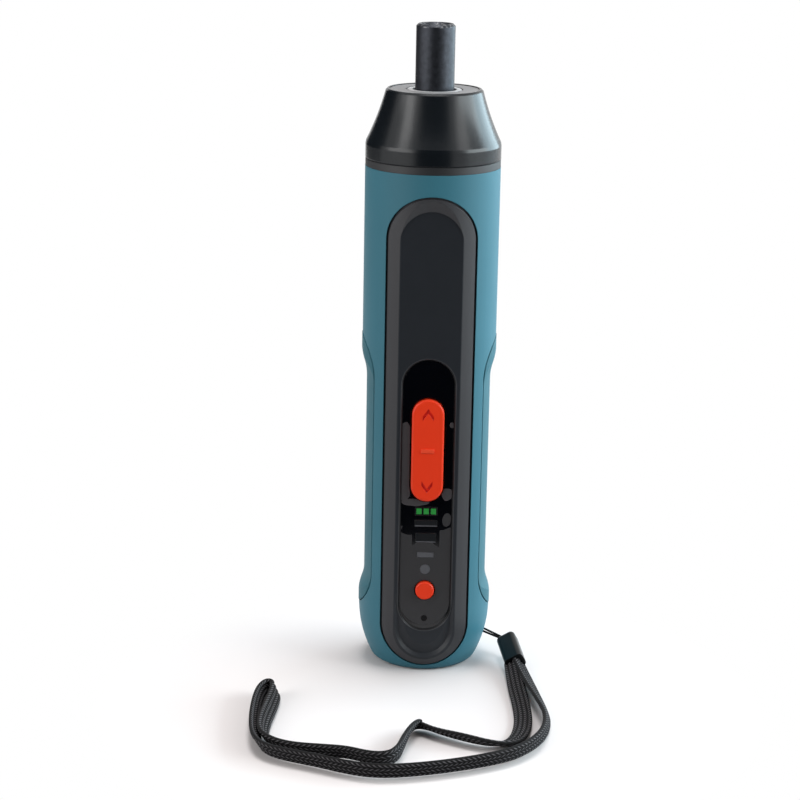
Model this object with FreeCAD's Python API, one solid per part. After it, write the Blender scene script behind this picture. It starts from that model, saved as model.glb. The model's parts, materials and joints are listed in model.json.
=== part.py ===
import FreeCAD, Part
import math
import os

# Cordless stick screwdriver, standing on its tail.
# The spindle axis is Z, the front panel faces -Y and the origin is at the middle of the tail face.
# All sizes are in millimetres.

V = FreeCAD.Vector
OVER = 1.0  # how far a cutter runs past what it cuts
ROOT = 0.6  # how far a form reaches into the form that it grows from

# Body: a round skin at a set distance from the drive train, with a bullet-shaped tail
body_room = 5.8
body_over_gearbox = 7.45
tail_round_w = 6.0
tail_round_h = 16.0
tail_edge_r = 3.0

# Front panel: a stadium with a flat recessed face
panel_half_w = 11.4
panel_z0 = 2.4
panel_below_top = 6.2
panel_gap = 0.55
panel_proud = 0.15
panel_dish = 1.8
panel_thick = 1.8
panel_floor = 1.2
panel_border = 3.1
panel_border_top = 3.6
panel_border_low = 1.7
panel_rim = 0.5
panel_step = 0.2
panel_tail_recess = 0.9
panel_tail_blend = 14.0
panel_skirt_gap = 0.05
panel_skirt_sunk = 0.55

# Display window, let into the panel's face
window_half_w = 6.8
window_z0 = 12.9
window_over_rocker = 10.5
window_sunk = 0.4
window_thick = 0.9
window_gap = 0.1
window_bevel = 0.35

# Lights and controls in the window: each step is measured up from the one before
# A bar has its width, its height and its step
charge_r = 0.85
charge_step = 3.0
button_step = 8.1
status_r = 1.35
status_step = 5.9
level_bars = ((4.4, 1.4, 4.1), (5.3, 2.5, 4.8), (5.9, 1.7, 4.1))
speed_bar = (5.8, 2.2, 3.4)
rocker_step = 3.0
light_gap = 0.05

# Side grips
grip_z0 = 16.0
grip_z1 = 92.0
grip_half_h = 10.4
grip_waist = 1.3
grip_arc_r = 28.2
grip_thick = 1.6
grip_gap = 0.25
grip_proud = 0.12
grip_lip_low = 2.0
grip_ramp_low = 8.0
grip_lip_top = 2.5
grip_ramp_top = 9.5
grip_ramp_over = 0.05
grip_wall = 1.5

# Rocker and its pin
rocker_half_w = 4.3
rocker_len = 28.2
rocker_proud = 0.8
rocker_depth = 3.5
rocker_gap = 0.4
rocker_edge = 0.6
rocker_hub_r = 1.5
rocker_hub_half = 3.0
rocker_leg_r = 0.9
rocker_leg_step = 10.0
rocker_pin_r = 0.75
pivot_behind_floor = 1.0
ear_thick = 1.5
ear_half = 1.9
ear_gap = 0.3
rocker_travel_deg = 3.5
rocker_bar_w = 3.5
rocker_bar_h = 1.1
rocker_bar_proud = 0.25
chevron_half_w = 1.4
chevron_h = 1.9
chevron_stroke = 1.05
chevron_depth = 0.5
chevron_at = 10.6

# Mode button
button_r = 2.5
button_proud = 0.55
button_edge = 0.27
button_gap = 0.3
button_flange = 0.7
button_flange_thick = 0.5
button_travel = 0.5
stop_gap = 0.05

# Control board
board_thick = 1.2
board_half_w = 8.8
board_z0 = 13.0
board_held = 1.0
board_edge = 0.25
board_motor_gap = 0.45
tact_side = 4.5
tact_body = 1.1
tact_plunger_r = 0.9
tact_plunger_h = 0.4
chip_side = 5.0
chip_thick = 0.9
chip_z = (22.0, 34.0, 52.0, 60.0)
lamp_side = 1.6
lamp_thick = 0.7

# Battery and charging
battery_r = 9.2
battery_len = 65.0
battery_front_gap = 1.7
battery_gap = 0.1
battery_rim = 0.6
battery_tab = 0.3
battery_tab_side = 8.0
battery_board_gap = 0.7
battery_motor_gap = 1.1
battery_rib_z = (16.0, 40.0, 66.0)
rib_thick = 2.0
port_w = 8.94
port_h = 3.26
port_len = 7.35
port_wall = 0.35
port_gap = 0.1
port_sunk = 0.4
port_floor = 1.0
port_tongue_w = 6.6
port_tongue_thick = 0.7
port_tongue_sunk = 1.0
charge_board_r = 11.0
charge_board_ledge = 2.0
charge_board_gap = 0.3
tail_floor = 4.0
tail_shelf_rise = 7.5

# Motor
motor_r = 12.2
motor_wall = 1.0
motor_gap = 0.1
motor_front = 1.2
motor_tail_room = 3.4
motor_boss_r = 4.0
motor_boss_h = 1.5
end_cap_thick = 2.5
end_cap_lip = 2.0
end_cap_floor = 1.0
brush_post_gap = 1.0
shaft_r = 1.0
run_gap = 0.05
magnet_thick = 2.1
magnet_deg = 130.0
magnet_count = 2
magnet_over = 1.0
air_gap = 0.4
core_len = 14.0
winding_count = 3
slot_rim = 0.7
slot_hub_r = 3.0
slot_mouth = 1.6
coil_gap = 0.1
coil_over = 2.0
commutator_r = 3.0
commutator_len = 4.0
brush_len = 3.0
brush_side = 2.0
terminal_edge = 1.1
terminal_w = 2.4
terminal_thick = 0.4
terminal_tail = 1.2
terminal_sink = 1.5

# Planetary gearbox: two equal stages
gear_module = 0.4
sun_teeth = 12
planet_teeth = 18
ring_teeth = 48
planet_count = 3
gear_addendum = 0.8
gear_dedendum = 1.25
gear_backlash = 0.09
pressure_deg = 20.0
gearbox_wall = 1.9
gearbox_base = 1.5
gear_len = 3.6
gear_side_gap = 0.5
planet_pin_r = 0.9
carrier_gap = 0.68
carrier1_thick = 1.5
carrier2_thick = 2.5
washer_step = 1.0
washer_thick = 0.5
cover_thick = 3.8
cover_neck_wall = 2.45
cover_neck_h = 4.6
motor_screw_at = 8.0
motor_screw_r = 1.0
motor_screw_head_r = 1.9
motor_screw_head_h = 1.0

# Spindle, bushings and bit holder
spindle_r = 4.0
bush_wall = 1.5
bush_flange = 1.0
clip_thick = 0.8
clip_proud = 2.0
clip_groove = 0.6
holder_r = 5.15
holder_sunk = 6.6
holder_proud = 16.9
holder_chamfer = 0.6
bit_depth = 14.7
hex_flats = 6.35
mouth_chamfer = 0.5
magnet_r = 2.6
magnet_h = 2.2
keeper_r = 4.2
keeper_in_r = 3.5
keeper_h = 0.8
keeper_below_top = 4.2
keeper_slot = 2.0

# Nose
collar_h = 2.2
collar_step = 0.05
collar_edge = 0.35
nose_band_h = 3.9
nose_cone_h = 14.2
nose_taper = 5.1
nose_shoulder = 0.4
nose_rim_edge = 0.5
nose_sag = 0.35
nose_wall = 1.7
nose_spigot = 4.0
spigot_gap = 0.1
nose_web = 4.0
lens_rim = 1.1
lens_room = 0.65
lens_thick = 2.6
lens_sunk = 0.2
lens_gap = 0.1
lens_seat = 0.8
lens_groove_r = 7.3
lens_groove_w = 0.4
lens_groove_depth = 0.3
led_board_thick = 1.0
led_board_gap = 0.2
led_count = 4
led_start_deg = 45.0
led_side = 2.2
led_h = 1.1

# Housing screws from the back, in two columns beside the battery
screw_low_z = (27.0, 54.0)
screw_below_top = 8.0
screw_side_gap = 0.6
screw_r = 1.1
screw_head_r = 1.9
screw_head_h = 1.5
screw_sunk = 1.4
screw_len = 15.0
screw_gap = 0.05
screw_recess_flats = 1.3
screw_recess_depth = 0.6
boss_r = 2.0

# Lanyard anchor, ferrule and strap
lanyard_deg = 14.0
lanyard_z = 7.0
lanyard_bar_r = 0.65
lanyard_bar_in = 3.4
lanyard_bar_half = 3.8
lanyard_pocket_r = 3.15
lanyard_pocket_in = 5.15
lanyard_pocket_deg = 9.0
lanyard_cord_r = 0.3
lanyard_cord_sides = 8
lanyard_gap = 0.05
ferrule_top_out = 5.3
ferrule_top_y = -2.0
ferrule_top_z = 5.4
ferrule_mouth_out = 7.3
ferrule_mouth_y = -14.6
ferrule_mouth_z = 3.0
ferrule_w = 5.4
ferrule_thick = 4.2
ferrule_round = 1.2
ferrule_top_round = 1.4
ferrule_roll_deg = 30.0
ferrule_bite = 1.2
strap_w = 4.8
strap_thick = 1.3
strap_lift = 0.1
bend_share = 0.45
strap_route = (
    (26.2, -13.8), (27.6, -21.0), (29.2, -32.0), (31.0, -43.5), (31.9, -52.0), (30.8, -61.0),
    (27.4, -69.0), (21.4, -76.2), (11.0, -81.6), (-1.0, -85.8), (-11.0, -87.6), (-19.0, -85.4),
    (-27.0, -81.2), (-35.0, -78.0), (-40.0, -74.4), (-42.4, -68.0), (-43.2, -58.0), (-43.4, -48.0),
    (-43.0, -39.0), (-41.8, -34.2), (-39.6, -34.2), (-39.0, -38.4), (-39.8, -46.8), (-40.8, -56.0),
    (-41.0, -63.0), (-39.8, -68.6), (-36.6, -72.6), (-32.0, -74.8), (-25.0, -75.4), (-19.0, -76.0),
    (-13.4, -79.2), (-9.4, -79.8), (-6.6, -76.6), (-5.2, -69.0), (-3.6, -61.8), (-2.0, -57.2),
    (0.0, -57.2), (4.0, -60.8), (10.8, -65.2), (17.0, -67.8), (22.0, -66.4), (24.8, -59.6),
    (26.0, -50.0), (25.8, -39.0), (25.0, -28.0), (24.4, -13.6),
)

# Radii worked out from the sizes above
ring_pitch_r = gear_module * ring_teeth / 2
ring_root_r = ring_pitch_r + gear_dedendum * gear_module
ring_tip_r = ring_pitch_r - gear_addendum * gear_module
planet_at = gear_module * (sun_teeth + planet_teeth) / 2
gearbox_r = ring_root_r + gearbox_wall
carrier_r = ring_tip_r - carrier_gap
washer_r = carrier_r - washer_step
body_r = max(motor_r, gearbox_r) + body_room
tail_flat_r = body_r - tail_round_w
tail_side_r = (tail_round_w ** 2 + tail_round_h ** 2 - 2 * tail_round_h * tail_edge_r) \
    / (2 * (tail_round_w - tail_edge_r))
cavity_r = body_r - panel_thick - panel_floor
can_in_r = motor_r - motor_wall
core_r = can_in_r - magnet_thick - air_gap
slot_pocket_r = (core_r - slot_rim - slot_hub_r) / 2
slot_pocket_at = slot_hub_r + slot_pocket_r
terminal_x = can_in_r - terminal_edge
bush_r = spindle_r + run_gap + bush_wall
cover_neck_r = bush_r + cover_neck_wall
clip_r = spindle_r + clip_proud
collar_r = body_r - collar_step
nose_rim_r = body_r - nose_taper
nose_in_r = cavity_r - spigot_gap - nose_wall
lens_r = nose_rim_r - lens_rim
lens_bore_r = holder_r + lens_room
port_pocket_r = charge_board_r - charge_board_ledge
tail_shelf_r = charge_board_r + charge_board_gap
button_flange_r = button_r + button_flange

# Distances from the spindle axis to the front, the sides and the back
panel_face_y = body_r - panel_dish
floor_back_y = panel_face_y - panel_thick
cavity_front_y = floor_back_y - panel_floor
window_face_y = panel_face_y - window_sunk
window_back_y = window_face_y - window_thick
rocker_face_y = panel_face_y + rocker_proud
rocker_back_y = rocker_face_y - rocker_depth
rocker_travel = (rocker_leg_step + rocker_leg_r) * math.sin(math.radians(rocker_travel_deg))
pivot_y = cavity_front_y - pivot_behind_floor
button_face_y = panel_face_y + button_proud
button_back_y = cavity_front_y - stop_gap - button_flange_thick
plunger_y = button_back_y - button_travel - stop_gap
leg_tip_y = plunger_y + rocker_travel + stop_gap
board_front_y = plunger_y - tact_plunger_h - tact_body
board_back_y = board_front_y - board_thick
battery_y = battery_r + battery_front_gap - (board_back_y - chip_thick)
grip_waist_x = body_r - grip_waist
grip_axis_x = grip_waist_x - grip_arc_r
side_x = grip_waist_x - grip_thick - grip_wall
screw_x = battery_r + screw_side_gap + boss_r
screw_seat_y = math.sqrt(body_r ** 2 - screw_x ** 2) - screw_head_h - screw_sunk

# Heights of what shows in the window, from the tail up
charge_z = window_z0 + charge_step
button_z = charge_z + button_step
status_z = button_z + status_step
bar_z = []
for bar_step in [bar[2] for bar in level_bars + (speed_bar,)]:
    bar_z.append((bar_z[-1] if bar_z else status_z) + bar_step)
rocker_z0 = bar_z[-1] + rocker_step
rocker_z1 = rocker_z0 + rocker_len
rocker_z = (rocker_z0 + rocker_z1) / 2
window_z1 = rocker_z1 + window_over_rocker

# Heights of what is inside, from the tail up
port_z0 = port_sunk
port_z1 = port_z0 + port_len
charge_board_z1 = port_z1 + board_thick
battery_z0 = charge_board_z1 + battery_board_gap + battery_tab
battery_z1 = battery_z0 + battery_len
board_z1 = rocker_z + rocker_leg_step + tact_side / 2 + board_edge
motor_z0 = max(battery_z1 + battery_tab + battery_motor_gap, board_z1 + board_motor_gap)
shaft_z0 = motor_z0 + end_cap_floor
can_z0 = motor_z0 + end_cap_thick
commutator_z0 = can_z0 + motor_tail_room
brush_z0 = commutator_z0 + (commutator_len - brush_side) / 2
core_z0 = commutator_z0 + commutator_len + coil_over
core_z1 = core_z0 + core_len
can_z1 = core_z1 + coil_over + air_gap + motor_front
boss_top_z = can_z1 + motor_boss_h
gear_floor_z = can_z1 + gearbox_base
stage1_z0 = gear_floor_z + gear_side_gap * 2
carrier1_z0 = stage1_z0 + gear_len + gear_side_gap
carrier1_z1 = carrier1_z0 + carrier1_thick
stage2_z0 = carrier1_z1 + gear_side_gap
carrier2_z0 = stage2_z0 + gear_len + gear_side_gap
carrier2_z1 = carrier2_z0 + carrier2_thick
cover_z0 = carrier2_z1 + washer_thick + 2 * run_gap
cover_z1 = cover_z0 + cover_thick
neck_z1 = cover_z1 + cover_neck_h
clip_z0 = neck_z1 + bush_flange + run_gap

# Heights of the body's top, the nose and the bit holder
body_top_z = neck_z1 + body_over_gearbox
panel_z1 = body_top_z - panel_below_top
screw_z = screw_low_z + (body_top_z - screw_below_top,)
collar_z1 = body_top_z + collar_h
nose_band_z = collar_z1 + nose_band_h
nose_top_z = nose_band_z + nose_cone_h
lens_top_z = nose_top_z - lens_sunk
lens_z0 = lens_top_z - lens_thick
holder_z0 = nose_top_z - holder_sunk
holder_z1 = nose_top_z + holder_proud
spindle_top_z = holder_z1 - bit_depth
magnet_z1 = spindle_top_z + magnet_h
led_board_z0 = holder_z0 - bush_flange + led_board_gap
web_z0 = led_board_z0 - nose_web

# Lanyard anchor and ferrule in space
lanyard_dir = V(math.cos(math.radians(lanyard_deg)), math.sin(math.radians(lanyard_deg)), 0)
bar_at = lanyard_dir * (body_r - lanyard_bar_in) + V(0, 0, lanyard_z)
ferrule_top = V(body_r + ferrule_top_out, ferrule_top_y, ferrule_top_z)
ferrule_mouth = V(body_r + ferrule_mouth_out, ferrule_mouth_y, ferrule_mouth_z)
ferrule_axis = (ferrule_mouth - ferrule_top).normalize()


# Basic forms

def cyl(r, z0, z1, x=0.0, y=0.0):
    return Part.makeCylinder(r, z1 - z0, V(x, y, z0))


def tube(r_out, r_in, z0, z1, x=0.0, y=0.0):
    return cyl(r_out, z0, z1, x, y).cut(cyl(r_in, z0 - OVER, z1 + OVER, x, y))


def rod_x(r, y, z, x0, x1):
    return Part.makeCylinder(r, x1 - x0, V(x0, y, z), V(1, 0, 0))


def rod_y(r, x, z, y0, y1):
    return Part.makeCylinder(r, y1 - y0, V(x, y0, z), V(0, 1, 0))


def block(x0, x1, y0, y1, z0, z1):
    return Part.makeBox(x1 - x0, y1 - y0, z1 - z0, V(x0, y0, z0))


def revolve(outline):
    corners = [V(r, 0, z) for r, z in outline]
    face = Part.Face(Part.makePolygon(corners + corners[:1]))
    return face.revolve(V(0, 0, 0), V(0, 0, 1), 360)


def revolve_curves(curves):
    wire = Part.Wire([curve.toShape() for curve in curves])
    return Part.Face(wire).revolve(V(0, 0, 0), V(0, 0, 1), 360)


def ramp_arcs(start, stop):
    """Two equal arcs that lead from one radius to another and end upright."""
    rise = abs(stop.z - start.z)
    step = abs(stop.x - start.x)
    radius = (rise ** 2 + step ** 2) / (4 * step)
    turn = math.asin(rise / 2 / radius) / 2
    bow = V(math.copysign(radius * (1 - math.cos(turn)), stop.x - start.x), 0,
            math.copysign(radius * math.sin(turn), stop.z - start.z))
    half = (start + stop) * 0.5
    return [Part.Arc(start, start + bow, half), Part.Arc(half, stop - bow, stop)]


def fuse_all(shapes):
    return shapes[0].multiFuse(shapes[1:]).removeSplitter() if len(shapes) > 1 else shapes[0]


def ring_of(count, make, start_deg=0.0):
    """Copies of one shape spread round the spindle axis."""
    copies = []
    for i in range(count):
        copy = make()
        copy.rotate(V(0, 0, 0), V(0, 0, 1), start_deg + i * 360.0 / count)
        copies.append(copy)
    return copies


def stadium_wire(half_w, z0, z1, place):
    """An upright outline with round ends; place(across, z) gives a point in space."""
    low = z0 + half_w
    high = z1 - half_w
    return Part.Wire([
        Part.LineSegment(place(half_w, low), place(half_w, high)).toShape(),
        Part.Arc(place(half_w, high), place(0, z1), place(-half_w, high)).toShape(),
        Part.LineSegment(place(-half_w, high), place(-half_w, low)).toShape(),
        Part.Arc(place(-half_w, low), place(0, z0), place(half_w, low)).toShape(),
    ])


def front_stadium(half_w, z0, z1, y):
    return stadium_wire(half_w, z0, z1, lambda across, z: V(across, y, z))


def stadium_y(half_w, z0, z1, y0, y1):
    return Part.Face(front_stadium(half_w, z0, z1, y0)).extrude(V(0, y1 - y0, 0))


def stadium_x(half_w, z0, z1, x0, x1):
    wire = stadium_wire(half_w, z0, z1, lambda across, z: V(x0, across, z))
    return Part.Face(wire).extrude(V(x1 - x0, 0, 0))


# Outer forms that several pieces share

def body_form(grow=0.0):
    """The round body with its bullet-shaped tail of two arcs, grown or shrunk by an offset."""
    edge = V(tail_flat_r, 0, tail_edge_r)
    side = V(body_r - tail_side_r, 0, tail_round_h)
    edge_r = tail_edge_r + grow
    side_r = tail_side_r + grow
    down = V(0, 0, -1)
    out = V(1, 0, 0)
    slant = (edge - side).normalize()
    meet = side + slant * side_r
    foot = edge + down * edge_r
    flank = side + out * side_r
    top = V(body_r + grow, 0, body_top_z)
    return revolve_curves([
        Part.LineSegment(V(0, 0, -grow), foot),
        Part.Arc(foot, edge + (down + slant).normalize() * edge_r, meet),
        Part.Arc(meet, side + (out + slant).normalize() * side_r, flank),
        Part.LineSegment(flank, top),
        Part.LineSegment(top, V(0, 0, body_top_z)),
        Part.LineSegment(V(0, 0, body_top_z), V(0, 0, -grow)),
    ])


def behind_face(y, z1=body_top_z + OVER):
    """Everything behind an upright plane in front of the axis, up to a height."""
    reach = body_r + OVER
    return block(-reach, reach, -y, reach, -OVER, z1)


def panel_back_form():
    return body_form(-panel_thick).common(behind_face(floor_back_y))


def grip_axis(side):
    return V(side * grip_axis_x, 0, 0)


def grip_floor_form(side):
    at = grip_axis(side)
    return cyl(grip_arc_r - grip_thick, -OVER, body_top_z + OVER, at.x, at.y)


def grip_outer_form(side):
    """A waisted round about the grip's own axis; its ends curve out to the body."""
    end_r = body_r + grip_proud + grip_ramp_over - grip_axis_x
    low_z = grip_z0 + grip_lip_low
    high_z = grip_z1 - grip_lip_top
    low_end = V(end_r, 0, low_z)
    low_waist = V(grip_arc_r, 0, low_z + grip_ramp_low)
    high_waist = V(grip_arc_r, 0, high_z - grip_ramp_top)
    high_end = V(end_r, 0, high_z)
    corners = [
        high_end, V(end_r, 0, body_top_z), V(0, 0, body_top_z), V(0, 0, -OVER),
        V(end_r, 0, -OVER), low_end,
    ]
    curves = [Part.LineSegment(a, b) for a, b in zip(corners, corners[1:])]
    curves += ramp_arcs(low_end, low_waist)
    curves.append(Part.LineSegment(low_waist, high_waist))
    curves += ramp_arcs(high_waist, high_end)
    form = revolve_curves(curves)
    form.translate(grip_axis(side))
    return form


def is_ring(edge, r):
    return isinstance(edge.Curve, Part.Circle) and abs(edge.Curve.Radius - r) < 1e-6


def front_holes():
    """Cutters through window, panel and shell for everything that shows in the window."""
    y0 = -(body_r + OVER)
    y1 = -(cavity_front_y - OVER)
    cuts = [
        stadium_y(rocker_half_w + rocker_gap, rocker_z0 - rocker_gap, rocker_z1 + rocker_gap, y0, y1),
        rod_y(button_r + button_gap, 0, button_z, y0, y1),
    ]
    return cuts + light_forms(light_gap, y0, y1)


def light_forms(grow, y0, y1):
    """The bars from the bottom up, then the two round lights."""
    forms = []
    for (width, height, step), z in zip(level_bars + (speed_bar,), bar_z):
        half_w = width / 2 + grow
        half_h = height / 2 + grow
        forms.append(block(-half_w, half_w, y0, y1, z - half_h, z + half_h))
    forms.append(rod_y(status_r + grow, 0, status_z, y0, y1))
    forms.append(rod_y(charge_r + grow, 0, charge_z, y0, y1))
    return forms


# Housing

def screw_places():
    return [(side * screw_x, z) for z in screw_z for side in (-1, 1)]


def cavity_form():
    """The hollow inside both shells, less the ribs, ears and bosses that stand in it."""
    shelf_z = port_z1
    hollow = revolve([
        (0, tail_floor), (port_pocket_r, tail_floor), (port_pocket_r, shelf_z), (tail_shelf_r, shelf_z),
        (cavity_r, shelf_z + tail_shelf_rise), (cavity_r, body_top_z + OVER), (0, body_top_z + OVER),
    ])
    spigot_z = body_top_z - nose_spigot - spigot_gap
    mouth = cyl(body_r, spigot_z, body_top_z + OVER)
    hollow = hollow.common(behind_face(cavity_front_y, spigot_z).fuse(mouth))
    sides = block(-side_x, side_x, -body_r, body_r, -OVER, grip_z1 + grip_wall)
    above = cyl(body_r, grip_z1 + grip_wall, body_top_z + OVER)
    hollow = hollow.common(sides.fuse(above))
    return hollow.cut(fuse_all(standing_forms()))


def standing_forms():
    forms = [battery_rib(z) for z in battery_rib_z]
    motor_mid = (can_z0 + can_z1) / 2
    for z in (can_z0 + rib_thick, motor_mid, can_z1 - 2 * rib_thick):
        forms.append(round_rib(z, motor_r + motor_gap))
    for z in (gear_floor_z + rib_thick, cover_z0 - rib_thick):
        forms.append(round_rib(z, gearbox_r + motor_gap))
    forms.append(round_rib(cover_z1 + motor_gap, cover_neck_r + rib_thick))
    forms += [rod_y(boss_r, x, z, -body_r, body_r) for x, z in screw_places()]
    ear_in = rocker_half_w + rocker_gap + ear_gap
    for side in (-1, 1):
        x0, x1 = sorted((side * ear_in, side * (ear_in + ear_thick)))
        ear_tip = -(pivot_y - ear_half + rocker_pin_r)
        forms.append(block(x0, x1, -body_r, ear_tip, rocker_z - ear_half, rocker_z + ear_half))
    return forms


def round_rib(z0, hole_r):
    return tube(body_r, hole_r, z0, z0 + rib_thick)


def battery_rib(z0):
    z1 = z0 + rib_thick
    rib = cyl(body_r, z0, z1).cut(cyl(battery_r + battery_gap, z0 - OVER, z1 + OVER, 0, battery_y))
    slot_x = board_half_w + port_gap
    front = -(board_front_y + port_gap)
    slot = block(-slot_x, slot_x, front, -(board_back_y - port_gap), z0 - OVER, z1 + OVER)
    room_x = board_half_w - board_held
    room = block(-room_x, room_x, -body_r, battery_y, z0 - OVER, z1 + OVER)
    return rib.cut(slot).cut(room)


def lanyard_cuts():
    """A round pocket let in from the side, and the seat of the bar that crosses it."""
    deg = math.radians(lanyard_pocket_deg)
    out = V(math.cos(deg), math.sin(deg), 0)
    floor = out * (body_r - lanyard_pocket_in) + V(0, 0, lanyard_z)
    pocket = Part.makeCylinder(lanyard_pocket_r, lanyard_pocket_in + OVER, floor, out)
    return [pocket, lanyard_bar()]


def screw_holes():
    cuts = []
    for x, z in screw_places():
        tip = screw_seat_y - screw_len
        cuts.append(rod_y(screw_r + screw_gap, x, z, tip, screw_seat_y + OVER))
        cuts.append(rod_y(screw_head_r + 2 * screw_gap, x, z, screw_seat_y, body_r + OVER))
    return cuts


def housing_shells():
    """Front and back shells, split on the plane of the spindle axis."""
    whole = body_form()
    pocket_w = panel_half_w + panel_gap
    pocket = stadium_y(pocket_w, panel_z0 - panel_gap, panel_z1 + panel_gap, -(body_r + OVER), 0)
    cuts = [pocket.cut(panel_back_form()), cavity_form(), port_form(port_gap, -OVER, port_z1)]
    cuts += front_holes()
    cuts += screw_holes()
    cuts += lanyard_cuts()
    ear_reach = rocker_half_w + rocker_gap + ear_gap + ear_thick
    cuts.append(rod_x(rocker_pin_r, -pivot_y, rocker_z, -ear_reach, ear_reach))
    for side in (-1, 1):
        outside = stadium_x(grip_half_h + grip_gap, grip_z0 - grip_gap, grip_z1 + grip_gap,
                            0, side * (body_r + OVER))
        cuts.append(outside.cut(grip_floor_form(side)))
    for cut in cuts:
        whole = whole.cut(cut)
    reach = body_r + OVER
    front = whole.common(block(-reach, reach, -reach, 0, -OVER, body_top_z + OVER))
    back = whole.common(block(-reach, reach, 0, reach, -OVER, body_top_z + OVER))
    return front, back


def grip(side):
    outline = stadium_x(grip_half_h, grip_z0, grip_z1, 0, side * (body_r + OVER))
    form = outline.common(body_form(grip_proud)).common(grip_outer_form(side))
    return form.cut(grip_floor_form(side))


def front_panel():
    """The dished plate, the low skirt that fills the gap round it, and the window's bevelled opening."""
    y0 = -(body_r + OVER)
    edge = panel_gap - panel_skirt_gap
    plate = stadium_y(panel_half_w, panel_z0, panel_z1, y0, 0).common(body_form(panel_proud))
    skirt = stadium_y(panel_half_w + edge, panel_z0 - edge, panel_z1 + edge, y0, 0)
    plate = plate.fuse(skirt.common(body_form(-panel_skirt_sunk)))
    plate = plate.cut(panel_back_form()).cut(panel_face_cut())

    def opening(grow, y):
        wide = window_gap + grow
        return front_stadium(window_half_w + wide, window_z0 - wide, window_z1 + wide, y)
    plate = plate.cut(Part.Face(opening(0, y0)).extrude(V(0, -window_back_y - y0, 0)))
    bevel_y = -(panel_face_y - window_bevel)
    bevel = Part.makeLoft([opening(bevel_y - y0, y0), opening(0, bevel_y)], True, True)
    for cut in [bevel] + front_holes():
        plate = plate.cut(cut)
    return plate


def panel_face_cut():
    """The dished face: flat, a small step and a slope up to the border, following the tail below."""
    step_y = panel_face_y + panel_step
    depth = body_r + panel_proud - step_y
    side_slope = (panel_border - panel_rim) / depth
    top_slope = (panel_border_top - panel_rim) / depth

    def ring_at(out):
        half_w = panel_half_w - panel_border + side_slope * out
        z0 = panel_z0 + panel_border_low - side_slope * out
        z1 = panel_z1 - panel_border_top + top_slope * out
        return front_stadium(half_w, z0, z1, -(step_y + out))
    dish = Part.makeLoft([ring_at(depth + OVER), ring_at(-panel_thick)], True, True)
    dish = dish.fuse(Part.Face(ring_at(0)).extrude(V(0, panel_step, 0)))
    low_r = body_r - panel_tail_recess
    high_r = body_r + OVER
    blend_z = tail_round_h + panel_tail_blend
    blend = Part.makeCone(low_r, high_r, panel_tail_blend, V(0, 0, tail_round_h))
    floor = body_form(-panel_tail_recess).fuse(blend).fuse(cyl(high_r, blend_z, body_top_z + OVER))
    return dish.cut(behind_face(panel_face_y).common(floor))


def display_window():
    plate = stadium_y(window_half_w, window_z0, window_z1, -window_face_y, -window_back_y)
    for cut in front_holes():
        plate = plate.cut(cut)
    return plate


def light_guides():
    return light_forms(0, -window_face_y, -cavity_front_y)


# Controls

def rocker_switch():
    cap = stadium_y(rocker_half_w, rocker_z0, rocker_z1, -rocker_face_y, -rocker_back_y)
    front = [e for e in cap.Edges if e.BoundBox.YMax < -rocker_face_y + rocker_edge]
    cap = cap.makeFillet(rocker_edge, front)
    stem_y = -(rocker_back_y + ROOT)
    pieces = [cap, rod_x(rocker_hub_r, -pivot_y, rocker_z, -rocker_hub_half, rocker_hub_half)]
    pieces.append(block(-rocker_hub_half, rocker_hub_half, stem_y, -pivot_y,
                        rocker_z - rocker_hub_r, rocker_z + rocker_hub_r))
    for side in (-1, 1):
        pieces.append(rod_y(rocker_leg_r, 0, rocker_z + side * rocker_leg_step, stem_y, -leg_tip_y))
    pieces.append(rocker_bar())
    whole = fuse_all(pieces)
    for up in (-1, 1):
        whole = whole.cut(chevron(up))
    return whole.cut(rod_x(rocker_pin_r + run_gap, -pivot_y, rocker_z, -body_r, body_r))


def rocker_bar():
    """A raised bar across the rocker's middle, felt by the thumb."""
    half_w = rocker_bar_w / 2
    half_h = rocker_bar_h / 2
    front_y = -(rocker_face_y + rocker_bar_proud)
    bar = block(-half_w, half_w, front_y, -(rocker_face_y - ROOT), rocker_z - half_h, rocker_z + half_h)
    edges = [e for e in bar.Edges if e.BoundBox.YMax < -rocker_face_y]
    return bar.makeFillet(rocker_bar_proud / 2, edges)


def chevron(up):
    """Cutter for an engraved arrow head that points to the rocker's end."""
    tip = chevron_h / 2
    foot = -chevron_h / 2
    outline = [
        (0, tip), (chevron_half_w, foot), (chevron_half_w, foot - chevron_stroke),
        (0, tip - chevron_stroke), (-chevron_half_w, foot - chevron_stroke), (-chevron_half_w, foot),
    ]
    y0 = -(rocker_face_y + OVER)
    corners = [V(x, y0, rocker_z + up * (chevron_at + z)) for x, z in outline]
    face = Part.Face(Part.makePolygon(corners + corners[:1]))
    return face.extrude(V(0, OVER + chevron_depth, 0))


def rocker_pin():
    reach = rocker_half_w + rocker_gap + ear_gap + ear_thick
    return rod_x(rocker_pin_r, -pivot_y, rocker_z, -reach, reach)


def mode_button():
    cap = rod_y(button_r, 0, button_z, -button_face_y, -button_back_y)
    crown = [e for e in cap.Edges if is_ring(e, button_r) and e.BoundBox.YMax < -panel_face_y]
    cap = cap.makeChamfer(button_edge, crown)
    return cap.fuse(rod_y(button_flange_r, 0, button_z, -(cavity_front_y - stop_gap), -button_back_y))


def control_board():
    return block(-board_half_w, board_half_w, -board_front_y, -board_back_y, board_z0, board_z1)


def tact_switch(z):
    half = tact_side / 2
    base_y = board_front_y + tact_body
    body = block(-half, half, -base_y, -board_front_y, z - half, z + half)
    return body.fuse(rod_y(tact_plunger_r, 0, z, -plunger_y, -base_y))


def tact_switches():
    places = (rocker_z - rocker_leg_step, rocker_z + rocker_leg_step, button_z)
    return [tact_switch(z) for z in places]


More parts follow.
